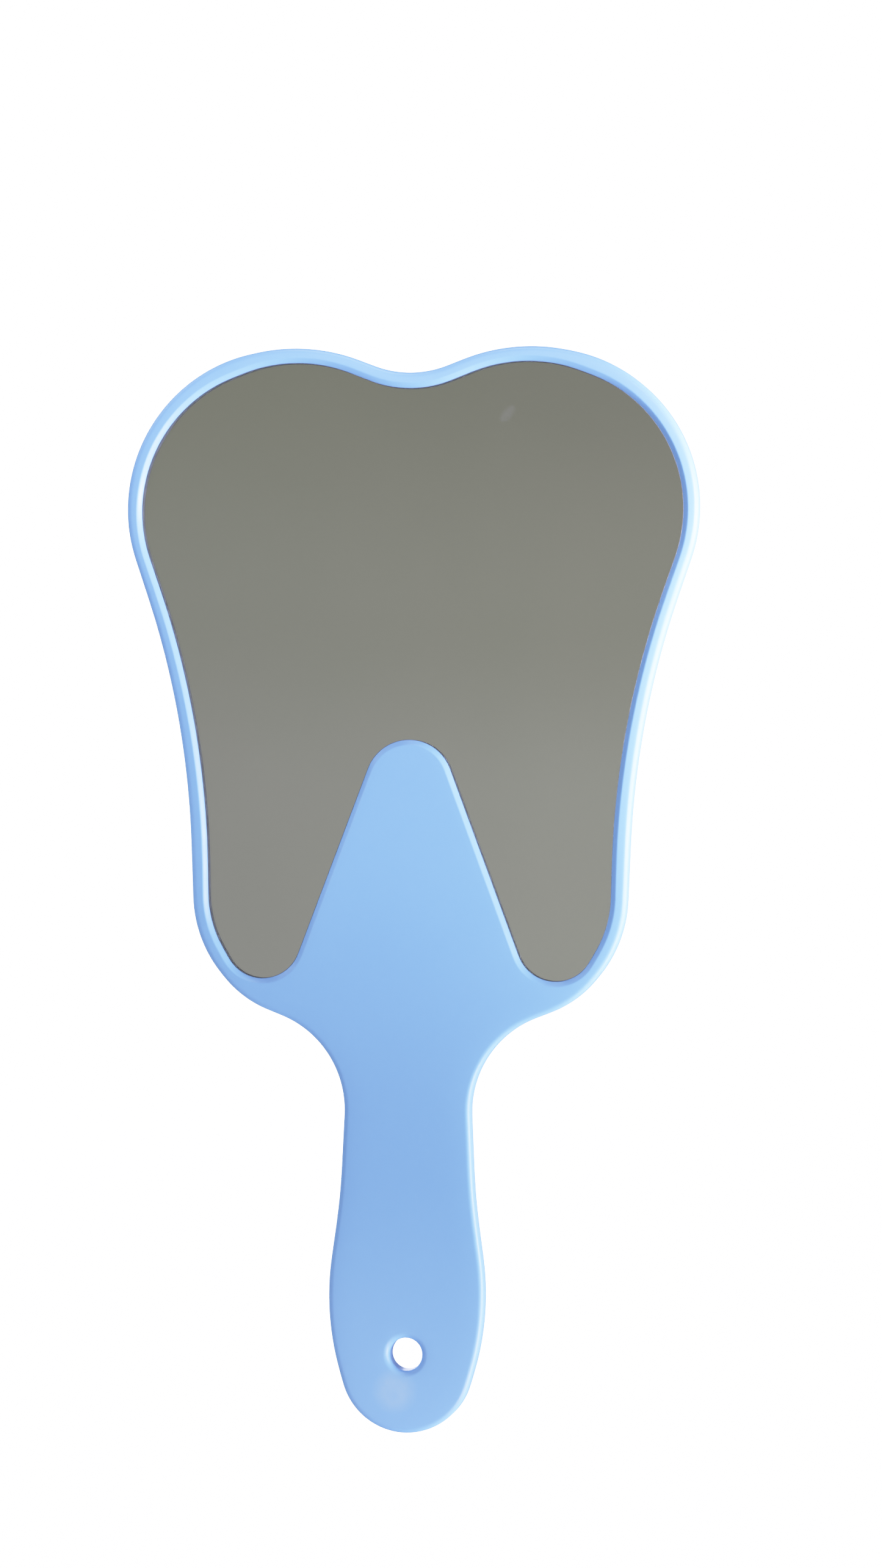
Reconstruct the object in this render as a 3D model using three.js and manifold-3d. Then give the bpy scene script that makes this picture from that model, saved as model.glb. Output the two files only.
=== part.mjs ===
// Tooth-shaped hand mirror that a dental patient looks into: a one-piece moulded frame with a handle,
// and a tooth-shaped mirror plate held in the frame's pocket on foam tape.
// Millimetres. +Z runs up the handle to the crown, the mirror faces -Y, and the origin is the middle
// of the grip, halfway through its thickness. Left and right are the viewer's, who looks along +Y.
import * as THREE from "three";
import { mergeVertices } from "three/addons/utils/BufferGeometryUtils.js";
import Module from "manifold-3d";

// ---------- driving dimensions ----------

const BODY_THICKNESS = 6;
const EDGE_ROUND = 1.3; // radius along the moulding's outer edges, front and back
const BEVEL = 1.1; // the rim's inner slope, as wide as it is deep
const PLATE_CLEARANCE = 0.25; // all round, between the plate and the pocket wall
const PLATE_SEAM = 0.35; // ground chamfer along the plate's edges

const GLASS_THICKNESS = 1.8;
const SILVER_THICKNESS = 0.1; // much thicker than the real layer
const PAINT_THICKNESS = 0.1;
const TAPE_THICKNESS = 0.7;

const HOLE_RADIUS = 3.75; // hanging hole
const HOLE_FRONT_LIP = 1.5; // radius of the hole's rounded rim in front
const HOLE_BACK_LIP = 0.6;
const HOLE_Z = -31;

const ARC_SAG = 0.02; // most that a chord may stray from its arc
const LINE_STEP = 6; // longest straight segment
const HOLE_SIDES = 48;
const ROUND_STEPS = 3; // facets across a rounded edge

// An outline is half of a symmetric loop: circles joined by their common tangents, walked clockwise as
// the viewer sees them, each as centre x, centre z and radius. A bulge has a positive radius and a
// hollow a negative one, so that an offset only adds to every radius.
const BODY_OUTLINE = [
  [0, 218.9, -23.7], // notch between the two lobes
  [27.5, 157.9, 43.1], // lobe
  [30.1, 164, 36.6], // shoulder, the widest place
  [253.4, 78.3, -202.4], // waist
  [21.4, 75, 29.3], // outside of the root
  [23.6, 71.7, 25.5], // heel under the root
  [37.9, 25, -23.2], // neck
  [167.6, 19.1, -152.5], // hollow side of the grip
  [-44.9, -17.4, 63], // swelling of the handle
  [0, -33.8, 15.3], // end of the handle
];
const MIRROR_OUTLINE = [
  [0, 217.9, -26.3], // notch
  [26.9, 162.6, 35], // lobe
  [30.1, 163.4, 33.1], // shoulder
  [253.5, 76.7, -206.4], // waist
  [21.4, 75.1, 25.6], // outside of the root
  [34.2, 64.3, 9.1], // root tip
  [0, 100.3, -10.2], // top of the island between the roots
];

// Foam tape pads: centre x, centre z, width, height.
const TAPE_PADS = {
  tape_crown_left: [-32, 166, 34, 18],
  tape_crown_right: [32, 166, 34, 18],
  tape_centre: [0, 134, 54, 16],
  tape_root_left: [-34, 80, 13, 34],
  tape_root_right: [34, 80, 13, 34],
};

// ---------- places along the thickness, from front to back ----------

const FRONT = -BODY_THICKNESS / 2;
const BACK = BODY_THICKNESS / 2;
const GLASS_FRONT = FRONT + BEVEL;
const SILVER_FRONT = GLASS_FRONT + GLASS_THICKNESS;
const PAINT_FRONT = SILVER_FRONT + SILVER_THICKNESS;
const TAPE_FRONT = PAINT_FRONT + PAINT_THICKNESS;
const POCKET_FLOOR = TAPE_FRONT + TAPE_THICKNESS;

// ---------- materials ----------

const BLUE_PLASTIC = { color: 0x92beee, roughness: 0.32, metalness: 0 };
const CLEAR_GLASS = { color: 0xdfe8e4, roughness: 0.03, metalness: 0, transparent: true, opacity: 0.35 };
const SILVER = { color: 0xd8d8d4, roughness: 0.03, metalness: 1 };
const GREY_PAINT = { color: 0x5b5f63, roughness: 0.7, metalness: 0 };
const WHITE_FOAM = { color: 0xe9e7df, roughness: 0.95, metalness: 0 };

// ---------- outlines ----------

function offset(circles, distance) {
  return circles.map(([x, z, radius]) => [x, z, radius + distance]);
}

// The heading, in radians, of the tangent that leaves one circle and meets the next. Heading 0 is +X.
function tangentHeading([x1, z1, r1], [x2, z2, r2]) {
  const length = Math.hypot(x2 - x1, z2 - z1);
  return Math.atan2(z2 - z1, x2 - x1) - Math.asin((r1 - r2) / length);
}

// How far to turn from one heading to another, the shorter way round.
function turnBetween(from, to) {
  return THREE.MathUtils.euclideanModulo(to - from + Math.PI, 2 * Math.PI) - Math.PI;
}

// Points of the right-hand half, from the middle of the first circle to the place on the last circle
// where the outline is back in the middle, heading -X.
function halfOutline(circles) {
  const points = [];
  let heading = 0;
  circles.forEach((circle, i) => {
    const [x, z, radius] = circle;
    const next = circles[i + 1];
    const turn = next ? turnBetween(heading, tangentHeading(circle, next)) : -Math.PI - heading;
    const step = Math.sqrt((8 * ARC_SAG) / Math.abs(radius));
    const steps = Math.max(1, Math.ceil(Math.abs(turn) / step));
    for (let k = 0; k <= steps; k++) {
      const angle = heading + (turn * k) / steps;
      points.push(new THREE.Vector2(x - radius * Math.sin(angle), z + radius * Math.cos(angle)));
    }
    heading += turn;
  });
  return points;
}

// Cuts every segment that is longer than LINE_STEP into equal parts.
function splitLongSegments(points) {
  return points.flatMap((a, i) => {
    const b = points[(i + 1) % points.length];
    const parts = Math.max(1, Math.ceil(a.distanceTo(b) / LINE_STEP));
    return Array.from({ length: parts }, (_, k) => a.clone().lerp(b, k / parts));
  });
}

function symmetricShape(circles) {
  const right = halfOutline(circles);
  const left = right.slice(1, -1).reverse();
  return new THREE.Shape(splitLongSegments([...right, ...left.map((p) => new THREE.Vector2(-p.x, p.y))]));
}

// ---------- solids ----------

const wasm = await Module();
wasm.setup();

function toSolid(geometry) {
  const bare = geometry.clone();
  bare.deleteAttribute("normal");
  bare.deleteAttribute("uv");
  const merged = mergeVertices(bare, 1e-4);
  const vertProperties = merged.attributes.position.array;
  const triVerts = new Uint32Array(merged.index.array);
  return new wasm.Manifold(new wasm.Mesh({ numProp: 3, vertProperties, triVerts }));
}

function toGeometry(solid) {
  const { vertProperties, triVerts } = solid.getMesh();
  const geometry = new THREE.BufferGeometry();
  geometry.setAttribute("position", new THREE.BufferAttribute(vertProperties, 3));
  geometry.setIndex(new THREE.BufferAttribute(triVerts, 1));
  geometry.computeVertexNormals();
  return geometry;
}

// A flat piece of the given outline between two places along Y. Its edges are rounded, or chamfered
// with one step, by as much as `edge`, without going outside the outline.
function slab(shape, front, back, edge = 0, steps = ROUND_STEPS) {
  const geometry = new THREE.ExtrudeGeometry(shape, {
    depth: back - front - 2 * edge,
    bevelEnabled: edge > 0,
    bevelThickness: edge,
    bevelSize: edge,
    bevelOffset: -edge,
    bevelSegments: steps,
  });
  geometry.translate(0, 0, edge - back);
  return geometry.rotateX(Math.PI / 2);
}

// The widening mouth above the mirror plate, which leaves the rim's inner slope. It starts as the
// mirror's outline at the plate's face and reaches past the front of the frame.
function mouthCutter() {
  const geometry = new THREE.ExtrudeGeometry(symmetricShape(MIRROR_OUTLINE), {
    depth: BEVEL,
    bevelThickness: BEVEL,
    bevelSize: BEVEL,
    bevelSegments: 1,
  });
  geometry.translate(0, 0, BEVEL - GLASS_FRONT);
  return geometry.rotateX(Math.PI / 2);
}

// The hanging hole with both its rims rounded outwards, as a solid to cut away.
function holeCutter() {
  const rim = (lip) =>
    Array.from({ length: ROUND_STEPS + 1 }, (_, k) => {
      const angle = (k / ROUND_STEPS) * (Math.PI / 2);
      return [HOLE_RADIUS + lip * (1 - Math.sin(angle)), BACK - lip * (1 - Math.cos(angle))];
    });
  const front = rim(HOLE_FRONT_LIP).map(([radius, y]) => [radius, -y]);
  const back = rim(HOLE_BACK_LIP).reverse();
  const beyond = BACK + 1;
  const profile = [
    [0, -beyond],
    [HOLE_RADIUS + HOLE_FRONT_LIP, -beyond],
    ...front,
    ...back,
    [HOLE_RADIUS + HOLE_BACK_LIP, beyond],
    [0, beyond],
  ];
  const points = profile.map(([radius, y]) => new THREE.Vector2(radius, y));
  return new THREE.LatheGeometry(points, HOLE_SIDES).translate(0, 0, HOLE_Z);
}

// ---------- pieces ----------

function piece(name, geometry, look) {
  const mesh = new THREE.Mesh(geometry, new THREE.MeshStandardMaterial(look));
  mesh.name = name;
  return mesh;
}

function handleFrame() {
  const body = toSolid(slab(symmetricShape(BODY_OUTLINE), FRONT, BACK, EDGE_ROUND));
  const pocket = toSolid(slab(symmetricShape(MIRROR_OUTLINE), GLASS_FRONT - BEVEL / 2, POCKET_FLOOR));
  const solid = body.subtract(pocket).subtract(toSolid(mouthCutter())).subtract(toSolid(holeCutter()));
  return piece("handle_frame", toGeometry(solid), BLUE_PLASTIC);
}

function mirrorPlate() {
  const edge = symmetricShape(offset(MIRROR_OUTLINE, -PLATE_CLEARANCE));
  const coated = symmetricShape(offset(MIRROR_OUTLINE, -PLATE_CLEARANCE - PLATE_SEAM));
  return [
    piece("mirror_glass", slab(edge, GLASS_FRONT, SILVER_FRONT, PLATE_SEAM, 1), CLEAR_GLASS),
    piece("silver_coating", slab(coated, SILVER_FRONT, PAINT_FRONT), SILVER),
    piece("backing_paint", slab(coated, PAINT_FRONT, TAPE_FRONT), GREY_PAINT),
  ];
}

function tapePads() {
  return Object.entries(TAPE_PADS).map(([name, [x, z, width, height]]) => {
    const pad = piece(name, new THREE.BoxGeometry(width, TAPE_THICKNESS, height), WHITE_FOAM);
    pad.position.set(x, (TAPE_FRONT + POCKET_FLOOR) / 2, z);
    return pad;
  });
}

const handMirror = new THREE.Group();
handMirror.add(handleFrame(), ...mirrorPlate(), ...tapePads());

export default handMirror;
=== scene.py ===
"""Looks of a tooth-shaped hand mirror for dental patients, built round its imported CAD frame.

Every length in this script is in millimetres until a mesh, lamp or camera is made: MM turns it into
metres. The axes are the CAD's: +Z up the handle, the mirror faces -Y, and the origin is mid-grip.
"""

import math

import bmesh
import bpy
import numpy as np
from mathutils import Matrix, Vector
from mathutils.geometry import delaunay_2d_cdt


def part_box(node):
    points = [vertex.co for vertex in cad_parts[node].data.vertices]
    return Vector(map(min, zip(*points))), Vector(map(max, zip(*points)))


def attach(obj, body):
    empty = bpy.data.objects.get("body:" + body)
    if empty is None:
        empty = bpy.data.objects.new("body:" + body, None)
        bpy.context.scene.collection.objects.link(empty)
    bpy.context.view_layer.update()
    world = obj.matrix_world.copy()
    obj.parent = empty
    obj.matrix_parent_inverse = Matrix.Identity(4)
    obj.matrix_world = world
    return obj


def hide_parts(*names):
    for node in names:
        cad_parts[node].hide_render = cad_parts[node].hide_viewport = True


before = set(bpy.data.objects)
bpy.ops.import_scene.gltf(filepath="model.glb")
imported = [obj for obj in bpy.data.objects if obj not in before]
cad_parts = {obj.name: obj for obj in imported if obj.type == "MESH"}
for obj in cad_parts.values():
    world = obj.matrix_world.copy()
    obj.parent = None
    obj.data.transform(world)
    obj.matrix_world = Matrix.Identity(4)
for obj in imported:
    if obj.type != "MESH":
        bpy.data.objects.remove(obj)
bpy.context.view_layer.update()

MM = 0.001

# ---------- driving values ----------

EDGE_ROUND = 1.3  # of the moulding's outer edges, as the CAD has it
BEVEL = 1.1  # the rim's inner slope, as wide as it is deep
PLATE_CLEARANCE = 0.03
PLATE_SEAM = 0.06  # ground chamfer along the front edge of the glass
FILM_INSET = 0.02  # the coating stops this far inside the edge of the glass
FILM_GAP = 0.01  # keeps the coating's front off the glass in front of it
HOLE_FRONT_LIP = 1.5
HOLE_BACK_LIP = 0.6

CREST_ROUND = 0.5  # softens the edge between the front face and the inner slope
POCKET_ROUND = 0.15  # softens the edge between the inner slope and the pocket wall
EDGE_FALL = (0.10, 1.5)  # how far the faces fall towards their edge, and over what distance
FACE_CROWN = (0.03, 8.0)  # the same for the faint crown of the whole face
RING_STEP = 0.7  # spacing of the points along every outline
FACE_STEP = 2.0  # spacing of the points inside a moulded face
PLATE_STEP = 6.0  # spacing inside a flat plate
LONGEST_CHORD = 7.0  # a longer CAD edge is a straight line, and a shorter one may be part of an arc
ROUND_STEPS = 8
HOLE_SIDES = 96
MARK_SIDES = 40
FACE_MARGIN = 0.2  # a flat band between a rounded edge and the points inside its face

PIN_MARK = (2.5, 0.10)  # radius and depth of the ejector pins' marks on the back
PIN_PLACES = [(-38, 158), (38, 158), (-33, 84), (33, 84), (0, 52), (0, -12)]
GATE_Z = 104
GATE_DISH = (2.2, 0.45)  # radius and depth of the dish where the plastic was let in
GATE_STUB = (0.7, 0.25)  # radius and height of what was left when the sprue was cut
MARK_WALL = 0.2  # width of the slope round a mark

TAPE_CORNER = 1.2
TAPE_BULGE = [(0.12, 0.0), (0.04, 0.08), (0.0, 0.2)]  # (inset, depth) pairs of its squeezed sides
TAPE_STEP = 2.0

CAMERA_AZIMUTH = 9.0
CAMERA_ROLL = 0.30
CAMERA_DISTANCE = 1004.0
CAMERA_AIM = (7.2, 0.0, 100.4)
CAMERA_LENS = 100.0

TONE_KNEE = 0.45  # scene values below this are shown as they are
TONE_REACH = 4.0  # the value that is shown as white
TONE_STEPS = 12

# ---------- the frame, in millimetres ----------


def box_mm(node):
    low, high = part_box(node)
    return np.array(low) / MM, np.array(high) / MM


body_low, body_high = box_mm("handle_frame")
glass_low, glass_high = box_mm("mirror_glass")
silver_low, silver_high = box_mm("silver_coating")
paint_low, paint_high = box_mm("backing_paint")
FRONT, BACK = body_low[1], body_high[1]
GLASS_FRONT, GLASS_BACK = glass_low[1], glass_high[1]
POCKET_FLOOR = box_mm("tape_centre")[1][1]


LEVEL_TOLERANCE = 0.01
FLAT_COSINE = 0.999  # a face whose normal is closer to Y than this lies flat


def cad_loops(node, y):
    """The closed loops of CAD edges at y that bound a wall, as arrays of x and z, longest first."""
    bm = bmesh.new()
    bm.from_mesh(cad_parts[node].data)
    bmesh.ops.remove_doubles(bm, verts=bm.verts, dist=1e-3 * MM)
    at_level = [e for e in bm.edges if all(abs(v.co.y / MM - y) < LEVEL_TOLERANCE for v in e.verts)]
    edges = [e for e in at_level if any(abs(f.normal.y) < FLAT_COSINE for f in e.link_faces)]
    neighbours = {}
    for edge in edges:
        a, b = edge.verts
        neighbours.setdefault(a, []).append(b)
        neighbours.setdefault(b, []).append(a)
    loops = []
    left = set(neighbours)
    while left:
        loop = [min(left, key=lambda v: v.index)]
        left.discard(loop[0])
        while True:
            onward = [v for v in neighbours[loop[-1]] if v in left]
            if not onward:
                break
            loop.append(onward[0])
            left.discard(onward[0])
        loops.append(np.array([(v.co.x / MM, v.co.z / MM) for v in loop]))
    bm.free()
    return sorted(loops, key=lambda loop: -np.abs(np.diff(loop, axis=0)).sum())


# ---------- outlines ----------


def refined(points):
    """Halves every chord, and bulges it by the arc that its two ends turn along."""
    ahead = np.roll(points, -1, axis=0) - points
    behind = np.roll(ahead, 1, axis=0)
    turn = np.arctan2(behind[:, 0] * ahead[:, 1] - behind[:, 1] * ahead[:, 0], (behind * ahead).sum(1))
    turn_next = np.roll(turn, -1)
    length = np.hypot(*ahead.T)
    arc = np.sign(turn) * np.minimum(np.abs(turn), np.abs(turn_next))
    arc[(turn * turn_next <= 0) | (length > LONGEST_CHORD)] = 0
    outward = np.column_stack([ahead[:, 1], -ahead[:, 0]])
    middle = points + ahead / 2 + outward * np.tan(arc / 4)[:, None] / 2
    return np.stack([points, middle], axis=1).reshape(-1, 2)


def outline(points, step=RING_STEP):
    """An evenly spaced, smooth, anticlockwise outline through the CAD's points."""
    area = (points[:, 0] * np.roll(points[:, 1], -1) - points[:, 1] * np.roll(points[:, 0], -1)).sum()
    points = points if area > 0 else points[::-1]
    for _ in range(3):
        points = refined(points)
    closed = np.vstack([points, points[:1]])
    along = np.concatenate([[0], np.cumsum(np.hypot(*np.diff(closed, axis=0).T))])
    places = np.linspace(0, along[-1], round(along[-1] / step), endpoint=False)
    return np.column_stack([np.interp(places, along, closed[:, i]) for i in (0, 1)])


def grown(loop, distance):
    """The outline moved outwards, or inwards for a negative distance."""
    tangent = np.roll(loop, -1, axis=0) - np.roll(loop, 1, axis=0)
    tangent /= np.hypot(*tangent.T)[:, None]
    return loop + distance * np.column_stack([tangent[:, 1], -tangent[:, 0]])


def circle(x, z, radius, sides=HOLE_SIDES):
    angle = np.linspace(0, 2 * math.pi, sides, endpoint=False)
    return np.column_stack([x + radius * np.cos(angle), z + radius * np.sin(angle)])


def inside(points, loop):
    a, b = loop, np.roll(loop, -1, axis=0)
    x, z = points[:, :1], points[:, 1:]
    spans = (a[:, 1] > z) != (b[:, 1] > z)
    rise = np.where(a[:, 1] == b[:, 1], 1, b[:, 1] - a[:, 1])
    crossing = a[:, 0] + (z - a[:, 1]) * (b[:, 0] - a[:, 0]) / rise
    return (spans & (x < crossing)).sum(1) % 2 == 1


def distance_to(points, loop):
    a = loop
    edge = np.roll(loop, -1, axis=0) - a
    found = np.full(len(points), np.inf)
    for start in range(0, len(points), 500):
        offset = points[start : start + 500, None] - a
        t = np.clip((offset * edge).sum(2) / (edge**2).sum(1), 0, 1)
        found[start : start + 500] = np.sqrt(((offset - t[:, :, None] * edge) ** 2).sum(2)).min(1)
    return found


def quarter_round(radius, steps=ROUND_STEPS):
    """(inset, depth) pairs from the face to the wall round an edge of this radius."""
    angles = [k / steps * math.pi / 2 for k in range(steps + 1)]
    return [(radius * (1 - math.sin(a)), radius * (1 - math.cos(a))) for a in angles]


# ---------- mesh building ----------


CLEAR_OF_LOOPS = 0.55  # how near a free point may be to a loop, as a share of the spacing


class Shell:
    """A closed mesh made of rings of points, joined by strips, and faces that fill rings."""

    def __init__(self):
        self.points = []
        self.faces = []

    def ring(self, loop, y):
        first = len(self.points)
        self.points += [(x, y, z) for x, z in loop]
        return list(range(first, first + len(loop)))

    def strips(self, rings):
        for near, far in zip(rings, rings[1:]):
            for i in range(len(near)):
                j = (i + 1) % len(near)
                self.faces.append((near[i], near[j], far[j], far[i]))

    def flat(self, ring):
        return np.array([(self.points[i][0], self.points[i][2]) for i in ring])

    def fill(self, outer, holes=(), y=0.0, step=FACE_STEP, marks=()):
        """Fills the outer ring except the holes. marks are loops whose points become part of the face."""
        rings = [outer, *holes]
        loops = [self.flat(ring) for ring in rings]
        low, high = loops[0].min(0), loops[0].max(0)
        rows = np.arange(low[1], high[1], step * math.sqrt(0.75))
        columns = np.arange(low[0], high[0], step)
        grid = np.array([(x + step / 2 * (i % 2), z) for i, z in enumerate(rows) for x in columns])
        keep = inside(grid, loops[0])
        for loop in loops[1:]:
            keep &= ~inside(grid, loop)
        for loop in [*loops, *marks]:
            keep &= distance_to(grid, loop) > CLEAR_OF_LOOPS * step
        free = np.vstack([*marks, grid[keep]])
        ids = [i for ring in rings for i in ring] + self.ring(free, y)
        edges = []
        first = 0
        for loop in [*loops, *marks]:
            edges += [(first + k, first + (k + 1) % len(loop)) for k in range(len(loop))]
            first += len(loop)
        flat = [Vector(p) for p in np.vstack([*loops, free])]
        _, _, triangles, origin, _, _ = delaunay_2d_cdt(flat, edges, [], 0, 1e-6)
        triangles = np.array([[origin[i][0] for i in t] for t in triangles])
        centres = np.array(flat)[triangles].mean(1)
        keep = inside(centres, loops[0])
        for loop in loops[1:]:
            keep &= ~inside(centres, loop)
        self.faces += [tuple(ids[i] for i in t) for t in triangles[keep]]

    def shape(self, change):
        """Passes all points through change, which takes and returns an array of x, y, z."""
        self.points = [tuple(p) for p in change(np.array(self.points))]

    def mesh(self, name, sharp_above=180.0):
        data = bpy.data.meshes.new(name)
        data.from_pydata([tuple(c * MM for c in p) for p in self.points], [], self.faces)
        bm = bmesh.new()
        bm.from_mesh(data)
        bmesh.ops.delete(bm, geom=[v for v in bm.verts if not v.link_faces], context="VERTS")
        bmesh.ops.recalc_face_normals(bm, faces=bm.faces)
        bm.to_mesh(data)
        bm.free()
        data.shade_smooth()
        if sharp_above < 180:
            data.set_sharp_from_angle(angle=math.radians(sharp_above))
        piece = bpy.data.objects.new(name, data)
        bpy.context.scene.collection.objects.link(piece)
        return piece


EDGE_SHARE = "edge_share"  # attribute of a plate's faces: 1 round its edge, 0 on its front and back


def plate(name, loop, front, back, front_edge, back_edge, sharp_above=30.0, step=PLATE_STEP):
    """A flat piece with the given outline. Its edges are (inset, depth) pairs from the face to the wall."""
    shell = Shell()
    profile = [(inset, front + depth) for inset, depth in front_edge]
    profile += [(inset, back - depth) for inset, depth in reversed(back_edge)]
    rings = [shell.ring(grown(loop, -inset), y) for inset, y in profile]
    shell.strips(rings)
    shell.fill(rings[0], y=front, step=step)
    shell.fill(rings[-1], y=back, step=step)
    piece = shell.mesh(name, sharp_above)
    share = piece.data.attributes.new(EDGE_SHARE, "FLOAT", "FACE")
    share.data.foreach_set("value", [float(abs(face.normal.y) < 0.99) for face in piece.data.polygons])
    return piece


# ---------- the moulding ----------

silhouette = outline(cad_loops("handle_frame", FRONT + EDGE_ROUND)[0])
mirror_edge = outline(cad_loops("handle_frame", POCKET_FLOOR)[0])
hole_loop = min(cad_loops("handle_frame", FRONT + HOLE_FRONT_LIP), key=len)
hole_centre = (hole_loop.max(0) + hole_loop.min(0)) / 2
hole_radius = (hole_loop.max(0) - hole_loop.min(0)).max() / 2


def mouth_profile():
    """(outset from the mirror's outline, y) pairs from the front face down to the pocket's floor."""
    start = BEVEL + CREST_ROUND * math.tan(math.radians(22.5))
    crest = [math.radians(45) * k / ROUND_STEPS for k in range(ROUND_STEPS + 1)]
    pairs = [(start - CREST_ROUND * math.sin(a), FRONT + CREST_ROUND * (1 - math.cos(a))) for a in crest]
    foot = POCKET_ROUND * math.tan(math.radians(22.5))
    pairs.append((foot * math.sqrt(0.5), GLASS_FRONT - foot * math.sqrt(0.5)))
    pairs.append((0.0, GLASS_FRONT + foot))
    pairs.append((0.0, POCKET_FLOOR))
    return pairs


def hole_profile():
    """(radius, y) pairs from the front face through the hanging hole to the back."""
    front = [(hole_radius + inset, FRONT + depth) for inset, depth in quarter_round(HOLE_FRONT_LIP)]
    back = [(hole_radius + inset, BACK - depth) for inset, depth in quarter_round(HOLE_BACK_LIP)]
    return front + back[::-1]


def back_marks():
    """Centre, radii and level of each round mark on the back, away from the faces that the mounts use."""
    pin_radius, pin_depth = PIN_MARK
    marks = [(x, z, pin_radius, BACK - pin_depth) for x, z in PIN_PLACES]
    dish_radius, dish_depth = GATE_DISH
    stub_radius, stub_height = GATE_STUB
    marks.append((0, GATE_Z, dish_radius, BACK - dish_depth))
    marks.append((0, GATE_Z, stub_radius, BACK - dish_depth + stub_height))
    return marks


def soften_faces(points):
    """Lets both faces fall a little towards the silhouette, as cooling leaves a moulded plate."""
    from_round = np.maximum(distance_to(points[:, [0, 2]], silhouette) - EDGE_ROUND, 0)
    fall = sum(height * np.exp(-from_round / width) for height, width in (EDGE_FALL, FACE_CROWN))
    points[:, 1] *= 1 - fall / BACK
    return points


def sink_marks(points):
    """Pushes the back's points down inside each round mark."""
    on_back = points[:, 1] > BACK - 1e-6
    for x, z, radius, level in back_marks():
        share = np.clip((radius - np.hypot(points[:, 0] - x, points[:, 2] - z)) / MARK_WALL, 0, 1)
        moved = points[:, 1] + share * (level - points[:, 1])
        points[:, 1] = np.where(on_back, moved, points[:, 1])
    return points


def build_frame():
    shell = Shell()
    lip = quarter_round(EDGE_ROUND)
    profile = [(inset, FRONT + depth) for inset, depth in lip]
    profile += [(inset, -y) for inset, y in reversed(profile)]
    outer = [shell.ring(grown(silhouette, -inset), y) for inset, y in profile]
    mouth = [shell.ring(grown(mirror_edge, outset), y) for outset, y in mouth_profile()]
    hole = [shell.ring(circle(*hole_centre, radius), y) for radius, y in hole_profile()]
    front_ring = shell.ring(grown(silhouette, -EDGE_ROUND - FACE_MARGIN), FRONT)
    back_ring = shell.ring(grown(silhouette, -EDGE_ROUND - FACE_MARGIN), BACK)
    shell.strips([front_ring, *outer, back_ring])
    shell.strips(mouth)
    shell.strips(hole)
    shell.fill(front_ring, [mouth[0], hole[0]], y=FRONT)
    shell.fill(mouth[-1], y=POCKET_FLOOR, step=PLATE_STEP)
    marks = []
    for x, z, radius, _ in back_marks():
        marks += [circle(x, z, radius - wall, MARK_SIDES) for wall in (0, MARK_WALL)]
    shell.fill(back_ring, [hole[-1]], y=BACK, marks=marks)
    shell.shape(sink_marks)
    shell.shape(soften_faces)
    return shell.mesh("moulded_frame")


# ---------- materials ----------


class Look:
    """A node material with one Principled shader, and short ways to feed it."""

    def __init__(self, name, **constants):
        self.material = bpy.data.materials.new(name)
        self.material.use_nodes = True
        self.nodes = self.material.node_tree.nodes
        self.links = self.material.node_tree.links
        self.shader = self.nodes["Principled BSDF"]
        for socket, value in constants.items():
            self.shader.inputs[socket.replace("_", " ")].default_value = value
        self.place = self.node("ShaderNodeTexCoord").outputs["Object"]

    def node(self, kind, **settings):
        node = self.nodes.new(kind)
        for key, value in settings.items():
            setattr(node, key, value)
        return node

    def feed(self, socket, value):
        if isinstance(value, bpy.types.NodeSocket):
            self.links.new(value, socket)
        else:
            socket.default_value = value

    def noise(self, size_mm, detail=2.0):
        """Noise whose blotches are about size_mm across."""
        noise = self.node("ShaderNodeTexNoise")
        self.feed(noise.inputs["Vector"], self.place)
        noise.inputs["Scale"].default_value = 1 / (size_mm * MM)
        noise.inputs["Detail"].default_value = detail
        return noise.outputs["Fac"]

    def spread(self, value, low, high, start=0.3, end=0.7):
        """Maps start..end, by default the usual range of a noise, to low..high."""
        node = self.node("ShaderNodeMapRange")
        self.feed(node.inputs["Value"], value)
        numbers = {"From Min": start, "From Max": end, "To Min": low, "To Max": high}
        for socket, number in numbers.items():
            node.inputs[socket].default_value = number
        return node.outputs["Result"]

    def mix(self, share, a, b):
        node = self.node("ShaderNodeMix", data_type="RGBA")
        self.feed(node.inputs[0], share)
        self.feed(node.inputs[6], a)
        self.feed(node.inputs[7], b)
        return node.outputs[2]

    def math(self, operation, a, b):
        node = self.node("ShaderNodeMath", operation=operation)
        self.feed(node.inputs[0], a)
        self.feed(node.inputs[1], b)
        return node.outputs[0]

    def distance(self, centre_mm):
        """Distance in metres from a place given in millimetres."""
        node = self.node("ShaderNodeVectorMath", operation="DISTANCE")
        self.feed(node.inputs[0], self.place)
        node.inputs[1].default_value = [c * MM for c in centre_mm]
        return node.outputs["Value"]

    def set(self, socket, value):
        self.feed(self.shader.inputs[socket], value)

    def bump(self, height, distance_mm):
        node = self.node("ShaderNodeBump")
        self.feed(node.inputs["Height"], height)
        node.inputs["Distance"].default_value = distance_mm * MM
        self.feed(self.shader.inputs["Normal"], node.outputs["Normal"])


PAINTED_HIGHLIGHT_CENTRE = (-2.4, -3.0, -39.4)  # a painted highlight: a pale spot below the hole, painted into the plastic's colour
PAINTED_HIGHLIGHT_RADIUS = (2.5, 5.5)  # solid inside the first, gone beyond the second


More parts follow.
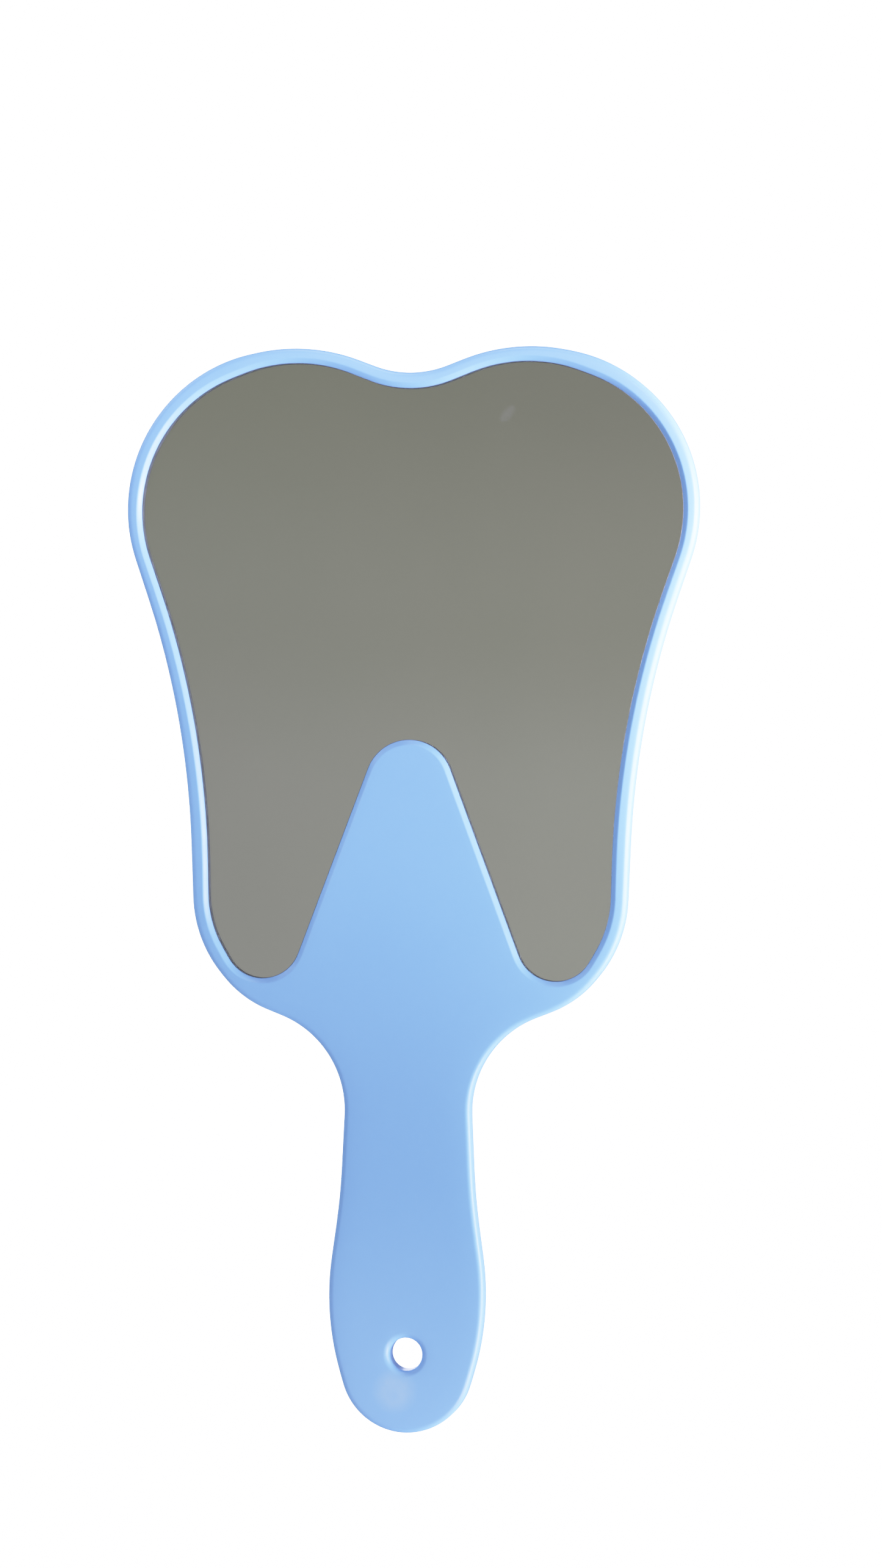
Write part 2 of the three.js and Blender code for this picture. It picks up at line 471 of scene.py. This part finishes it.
def blue_plastic():
    look = Look("blue_plastic", IOR=1.49)
    broad = look.spread(look.noise(45, detail=1.0), 0, 1)
    fine = look.spread(look.noise(1.2, detail=3.0), 0, 1)
    base = look.mix(broad, (0.252, 0.472, 0.835, 1), (0.262, 0.484, 0.848, 1))
    mottled = look.mix(look.math("MULTIPLY", fine, 0.25), base, (0.272, 0.492, 0.840, 1))
    # Painted highlight: the colour turns paler round a spot below the hole, standing in for a soft gloss
    # highlight.
    near = look.spread(look.distance(PAINTED_HIGHLIGHT_CENTRE), 1, 0, PAINTED_HIGHLIGHT_RADIUS[0] * MM, PAINTED_HIGHLIGHT_RADIUS[1] * MM)
    painted_highlight = look.math("MULTIPLY", near, look.spread(look.noise(3, detail=3.0), 0.55, 1.0))
    look.set("Base Color", look.mix(painted_highlight, mottled, (0.338, 0.540, 0.812, 1)))
    look.set("Roughness", look.spread(look.noise(6, detail=4.0), 0.30, 0.38))
    look.bump(look.noise(1.6, detail=2.0), 0.006)
    return look.material


# A faint smear on the front of the glass. The reach is the distance to one end plus the other.
SMUDGE_ENDS = [(21.2, -1.9, 184.0), (23.8, -1.9, 187.0)]
SMUDGE_REACH = (3.98, 4.9)  # hazy inside the first, clear beyond the second
SMUDGE_HAZE = 0.02  # share of the light it scatters


def mirror_glass():
    """Clear float glass whose edge is ground, so that it scatters the light."""
    look = Look("clear_glass", IOR=1.52)
    ground = look.node("ShaderNodeAttribute", attribute_name=EDGE_SHARE).outputs["Fac"]
    clear = look.mix(look.spread(look.noise(30), 0, 1), (0.975, 0.995, 0.98, 1), (0.985, 1, 0.99, 1))
    look.set("Base Color", look.mix(ground, clear, (0.30, 0.33, 0.34, 1)))
    reach = look.math("ADD", *(look.distance(end) for end in SMUDGE_ENDS))
    smudge = look.spread(reach, SMUDGE_HAZE, 0, SMUDGE_REACH[0] * MM, SMUDGE_REACH[1] * MM)
    unground = look.math("SUBTRACT", 1.0, ground)
    look.set("Transmission Weight", look.math("SUBTRACT", unground, smudge))
    polish = look.spread(look.noise(9, detail=5.0), 0.0, 0.012, 0.45, 0.8)
    grind = look.spread(look.noise(0.5, detail=3.0), 0.55, 0.75)
    look.set("Roughness", look.mix(ground, polish, grind))
    return look.material


def silver():
    look = Look("silver", Metallic=1.0)
    patches = look.spread(look.noise(25), 0, 1)
    look.set("Base Color", look.mix(patches, (0.93, 0.93, 0.915, 1), (0.945, 0.945, 0.93, 1)))
    look.set("Roughness", look.spread(look.noise(12), 0.004, 0.012))
    return look.material


def grey_paint():
    look = Look("grey_paint")
    clouds = look.noise(5, detail=4.0)
    look.set("Base Color", look.mix(clouds, (0.10, 0.11, 0.12, 1), (0.15, 0.16, 0.17, 1)))
    look.set("Roughness", look.spread(look.noise(2), 0.55, 0.75))
    look.bump(look.noise(0.8, detail=3.0), 0.02)
    return look.material


FOAM_CELL = 0.25


def white_foam():
    look = Look("foam_tape")
    cells = look.node("ShaderNodeTexVoronoi")
    look.feed(cells.inputs["Vector"], look.place)
    cells.inputs["Scale"].default_value = 1 / (FOAM_CELL * MM)
    wall = cells.outputs["Distance"]
    look.set("Base Color", look.mix(wall, (0.80, 0.79, 0.74, 1), (0.88, 0.87, 0.83, 1)))
    look.set("Roughness", look.spread(look.noise(1), 0.85, 0.98))
    look.bump(wall, 0.08)
    return look.material


# ---------- pieces ----------


def add(piece, material, slot, *nodes):
    piece.data.materials.clear()
    piece.data.materials.append(material)
    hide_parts(*nodes)
    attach(piece, "root")
    return piece


SQUARE_EDGE = [(0.0, 0.0)]
CHAMFER = [(PLATE_SEAM, 0.0), (0.0, PLATE_SEAM)]

glass_edge = grown(mirror_edge, -PLATE_CLEARANCE)
film_edge = grown(glass_edge, -FILM_INSET)
add(build_frame(), blue_plastic(), "blue_plastic", "handle_frame")
add(
    plate("glass_plate", glass_edge, GLASS_FRONT, GLASS_BACK, CHAMFER, SQUARE_EDGE),
    mirror_glass(), "clear_glass", "mirror_glass",
)
add(
    plate("silver_film", film_edge, silver_low[1] + FILM_GAP, silver_high[1], SQUARE_EDGE, SQUARE_EDGE),
    silver(), "silver", "silver_coating",
)
add(
    plate("paint_film", film_edge, paint_low[1] + FILM_GAP, paint_high[1], SQUARE_EDGE, SQUARE_EDGE),
    grey_paint(), "grey_paint", "backing_paint",
)


def foam_pad(node):
    """A die-cut strip of foam tape: rounded corners, and sides that bulge where it is squeezed."""
    low, high = box_mm(node)
    middle, half = (low + high) / 2, (high - low) / 2
    reach = half - TAPE_CORNER
    quarter = 8
    arcs = []
    for turn, (sx, sz) in enumerate([(1, 1), (-1, 1), (-1, -1), (1, -1)]):
        whole = circle(middle[0] + sx * reach[0], middle[2] + sz * reach[2], TAPE_CORNER, 4 * quarter)
        arcs.append(whole[quarter * turn : quarter * (turn + 1) + 1])
    loop = outline(np.vstack(arcs))
    name = node.replace("tape", "foam_tape")
    return plate(name, loop, low[1], high[1], TAPE_BULGE, TAPE_BULGE, sharp_above=60, step=TAPE_STEP)


foam = white_foam()
for node in sorted(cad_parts):
    if node.startswith("tape_"):
        add(foam_pad(node), foam, "foam_tape", node)

# ---------- stage ----------

WHITE = (1.0, 1.0, 1.0, 1)
DAYLIGHT = (1.0, 0.99, 1.36)
HEAD_LIGHT = (1.0, 0.92, 1.5)  # a deeper blue for the head's rim
FOOT_LIGHT = (1.7, 1.1, 1.15)  # warmer, for the end of the handle
BRIGHT = (4.0, 4.0, 4.0, 1)  # shown as white by the tone curve
FLOOR_RADIUS = 1150.0
FLOOR_FADE = 350.0
FLOOR_DROP = 0.05  # below the lowest point of the object
FLOOR_GLOW = 3.0  # lifts the floor to white for the camera only
FLOOR_LIGHT = 0.1  # what the floor gives off towards matt surfaces, over what the lamps make it do
FLOOR_REFLECTED = (0.20, 0.20, 0.19)  # the floor's colour in the mirror and in glossy edges


def floor():
    """A round pale floor whose rim fades into the white surroundings."""
    level = body_low[2] - FLOOR_DROP
    bm = bmesh.new()
    bmesh.ops.create_circle(bm, cap_ends=True, segments=96, radius=FLOOR_RADIUS * MM)
    bmesh.ops.translate(bm, verts=bm.verts, vec=(0, 0, level * MM))
    data = bpy.data.meshes.new("floor")
    bm.to_mesh(data)
    bm.free()
    piece = bpy.data.objects.new("floor", data)
    bpy.context.scene.collection.objects.link(piece)
    look = Look("pale_floor", Roughness=0.9)
    path = look.node("ShaderNodeLightPath")
    pale = look.mix(look.noise(180), (0.80, 0.80, 0.80, 1), (0.82, 0.82, 0.82, 1))
    seen = look.math("MAXIMUM", path.outputs["Is Camera Ray"], path.outputs["Is Diffuse Ray"])
    look.set("Base Color", look.mix(seen, (*FLOOR_REFLECTED, 1), pale))
    look.shader.inputs["Emission Color"].default_value = WHITE
    look.material.cycles.emission_sampling = "NONE"  # lamp sampling would not know the kind of ray
    light = look.math("MULTIPLY", path.outputs["Is Diffuse Ray"], FLOOR_LIGHT)
    glow = look.math("MULTIPLY", path.outputs["Is Camera Ray"], FLOOR_GLOW)
    look.set("Emission Strength", look.math("ADD", glow, light))
    fade = look.spread(look.distance((0, 0, 0)), 1, 0, (FLOOR_RADIUS - FLOOR_FADE) * MM, FLOOR_RADIUS * MM)
    look.set("Alpha", fade)
    data.materials.append(look.material)
    piece.visible_shadow = False  # lets the low lamps shine through it


def hang(light, azimuth, elevation, distance, power, aim, colour=DAYLIGHT):
    """Places a lamp at an angle from the front, towards the right, and an elevation, and aims it."""
    az, el = math.radians(azimuth), math.radians(elevation)
    away = Vector((math.sin(az) * math.cos(el), -math.cos(az) * math.cos(el), math.sin(el)))
    light.energy = power
    light.color = colour
    item = bpy.data.objects.new(light.name, light)
    item.location = (Vector(aim) + away * distance) * MM
    item.rotation_euler = away.to_track_quat("Z", "Y").to_euler()
    bpy.context.scene.collection.objects.link(item)


def softbox(name, azimuth, elevation, distance, size, power, aim=(0, 0, 76)):
    light = bpy.data.lights.new(name, "AREA")
    light.shape = "RECTANGLE"
    light.size, light.size_y = (side * MM for side in size)
    hang(light, azimuth, elevation, distance, power, aim)


def beam(name, azimuth, elevation, distance, cone, radius, power, aim, colour=DAYLIGHT):
    """A round lamp whose light fades towards the edge of its cone."""
    light = bpy.data.lights.new(name, "SPOT")
    light.spot_size = math.radians(cone)
    light.spot_blend = 1.0
    light.shadow_soft_size = radius * MM
    hang(light, azimuth, elevation, distance, power, aim, colour)


# What the mirror shows from the front, by how far a direction rises and how far it points right.
ROOM_RISE = (-0.06, 0.12)
ROOM_SIDE = (-0.235, -0.095)
ROOM_LEFT = [
    (0.0, (0.288, 0.281, 0.274)),
    (0.3, (0.285, 0.278, 0.270)),
    (0.55, (0.257, 0.254, 0.233)),
    (0.9, (0.221, 0.219, 0.187)),
]
ROOM_RIGHT = [
    (0.0, (0.336, 0.330, 0.312)),
    (0.3, (0.330, 0.324, 0.305)),
    (0.55, (0.277, 0.270, 0.244)),
    (0.9, (0.225, 0.220, 0.195)),
]
REAR_BLEND = (-0.3, 0.3)  # the front gives way to the rear over this range of a direction's Y
REAR_REFLECTED = (0.45, 0.45, 0.47, 1)
FRONT_AMBIENT = (0.285, 0.305, 0.325, 1)  # what matt surfaces get from the front
REAR_AMBIENT = (0.40, 0.40, 0.46, 1)
FADE = [(0.0, (0, 0, 0)), (1.0, (1, 1, 1))]


def surroundings():
    """White to the camera. Reflections see a dim warm room in front and a lighter grey one behind."""
    world = bpy.data.worlds.new("studio")
    bpy.context.scene.world = world
    world.use_nodes = True
    world.cycles.sampling_method = "NONE"
    nodes, links = world.node_tree.nodes, world.node_tree.links
    background = nodes["Background"]
    path = nodes.new("ShaderNodeLightPath")
    direction = nodes.new("ShaderNodeTexCoord").outputs["Generated"]
    parts = nodes.new("ShaderNodeSeparateXYZ")
    links.new(direction, parts.inputs[0])

    def ramp(value, start, end, stops):
        scaled = nodes.new("ShaderNodeMapRange")
        links.new(value, scaled.inputs["Value"])
        scaled.inputs["From Min"].default_value = start
        scaled.inputs["From Max"].default_value = end
        node = nodes.new("ShaderNodeValToRGB")
        links.new(scaled.outputs["Result"], node.inputs["Fac"])
        node.color_ramp.interpolation = "EASE"
        while len(node.color_ramp.elements) < len(stops):
            node.color_ramp.elements.new(0.5)
        for element, (place, colour) in zip(node.color_ramp.elements, stops):
            element.position = place
            element.color = (*colour, 1)
        return node.outputs["Color"]

    def mix(share, a, b):
        node = nodes.new("ShaderNodeMix")
        node.data_type = "RGBA"
        links.new(share, node.inputs[0])
        for socket, value in ((node.inputs[6], a), (node.inputs[7], b)):
            if isinstance(value, tuple):
                socket.default_value = value
            else:
                links.new(value, socket)
        return node.outputs[2]

    left = ramp(parts.outputs["Z"], *ROOM_RISE, ROOM_LEFT)
    right = ramp(parts.outputs["Z"], *ROOM_RISE, ROOM_RIGHT)
    room = mix(ramp(parts.outputs["X"], *ROOM_SIDE, FADE), left, right)
    rear = ramp(parts.outputs["Y"], *REAR_BLEND, FADE)
    reflected = mix(rear, room, REAR_REFLECTED)
    ambient = mix(rear, FRONT_AMBIENT, REAR_AMBIENT)
    indirect = mix(path.outputs["Is Diffuse Ray"], reflected, ambient)
    links.new(mix(path.outputs["Is Camera Ray"], indirect, BRIGHT), background.inputs["Color"])


def tone():
    """Leaves the darker tones alone and lets the lighter ones run softly into white, as film does."""
    view = bpy.context.scene.view_settings
    view.view_transform = "Standard"
    view.use_curve_mapping = True
    mapping = view.curve_mapping
    mapping.clip_max_x = TONE_REACH
    curve = mapping.curves[3]
    room = 1 - TONE_KNEE
    places = [TONE_KNEE + (TONE_REACH - TONE_KNEE) * (k / TONE_STEPS) ** 2 for k in range(TONE_STEPS + 1)]
    curve.points[0].location = (0, 0)
    curve.points[-1].location = (TONE_REACH, 1)
    curve.points[-1].handle_type = "VECTOR"
    for place in places[:-1]:
        point = curve.points.new(place, TONE_KNEE + room * (1 - math.exp(-(place - TONE_KNEE) / room)))
        point.handle_type = "AUTO"
    for share in (0.25, 0.5, 0.75):
        point = curve.points.new(TONE_KNEE * share, TONE_KNEE * share)
        point.handle_type = "VECTOR"
    mapping.update()


def camera():
    az = math.radians(CAMERA_AZIMUTH)
    right = Vector((math.cos(az), math.sin(az), 0))
    up = Vector((0, 0, 1))
    back = right.cross(up)
    turn = Matrix((right, up, back)).transposed() @ Matrix.Rotation(math.radians(CAMERA_ROLL), 3, "Z")
    data = bpy.data.cameras.new("camera")
    data.lens = CAMERA_LENS
    data.clip_start = 0.05
    item = bpy.data.objects.new("camera", data)
    place = (Vector(CAMERA_AIM) + back * CAMERA_DISTANCE) * MM
    item.matrix_world = Matrix.Translation(place) @ turn.to_4x4()
    bpy.context.scene.collection.objects.link(item)
    bpy.context.scene.camera = item


camera()
floor()

# Azimuth and elevation in degrees, distance, size (or cone in degrees and radius), watts, aim.
softbox("side_right", 88, -4, 700, (300, 400), 5.2, (0, 0, 120))
softbox("low_right", 70, -30, 800, (300, 300), 5.4, (0, 0, 130))
softbox("left_high", -75, 40, 1000, (600, 600), 2.6)
softbox("top", -10, 70, 420, (260, 160), 0.6, (0, 0, 190))
softbox("back", 205, 12, 1200, (900, 900), 8.0)
beam("head_side", 82, -3, 900, 14, 40, 18.0, (0, 0, 170))
beam("head_right", 50, 5, 900, 22, 40, 7.0, (0, 0, 175), HEAD_LIGHT)
beam("head_top", 12, 12, 900, 12, 40, 18.0, (-22, 0, 201), HEAD_LIGHT)
beam("rim_high", 42, 5, 900, 14, 30, 90.0, (173, 0, 170), HEAD_LIGHT)
beam("rim_low", 42, 0, 900, 14, 30, 90.0, (173, 0, 90))
beam("island_left", -50, 15, 900, 5, 30, 10.0, (-12, 0, 82))
beam("handle_foot", 32, -25, 700, 7, 30, 5.5, (6, 0, -58), FOOT_LIGHT)
surroundings()
tone()
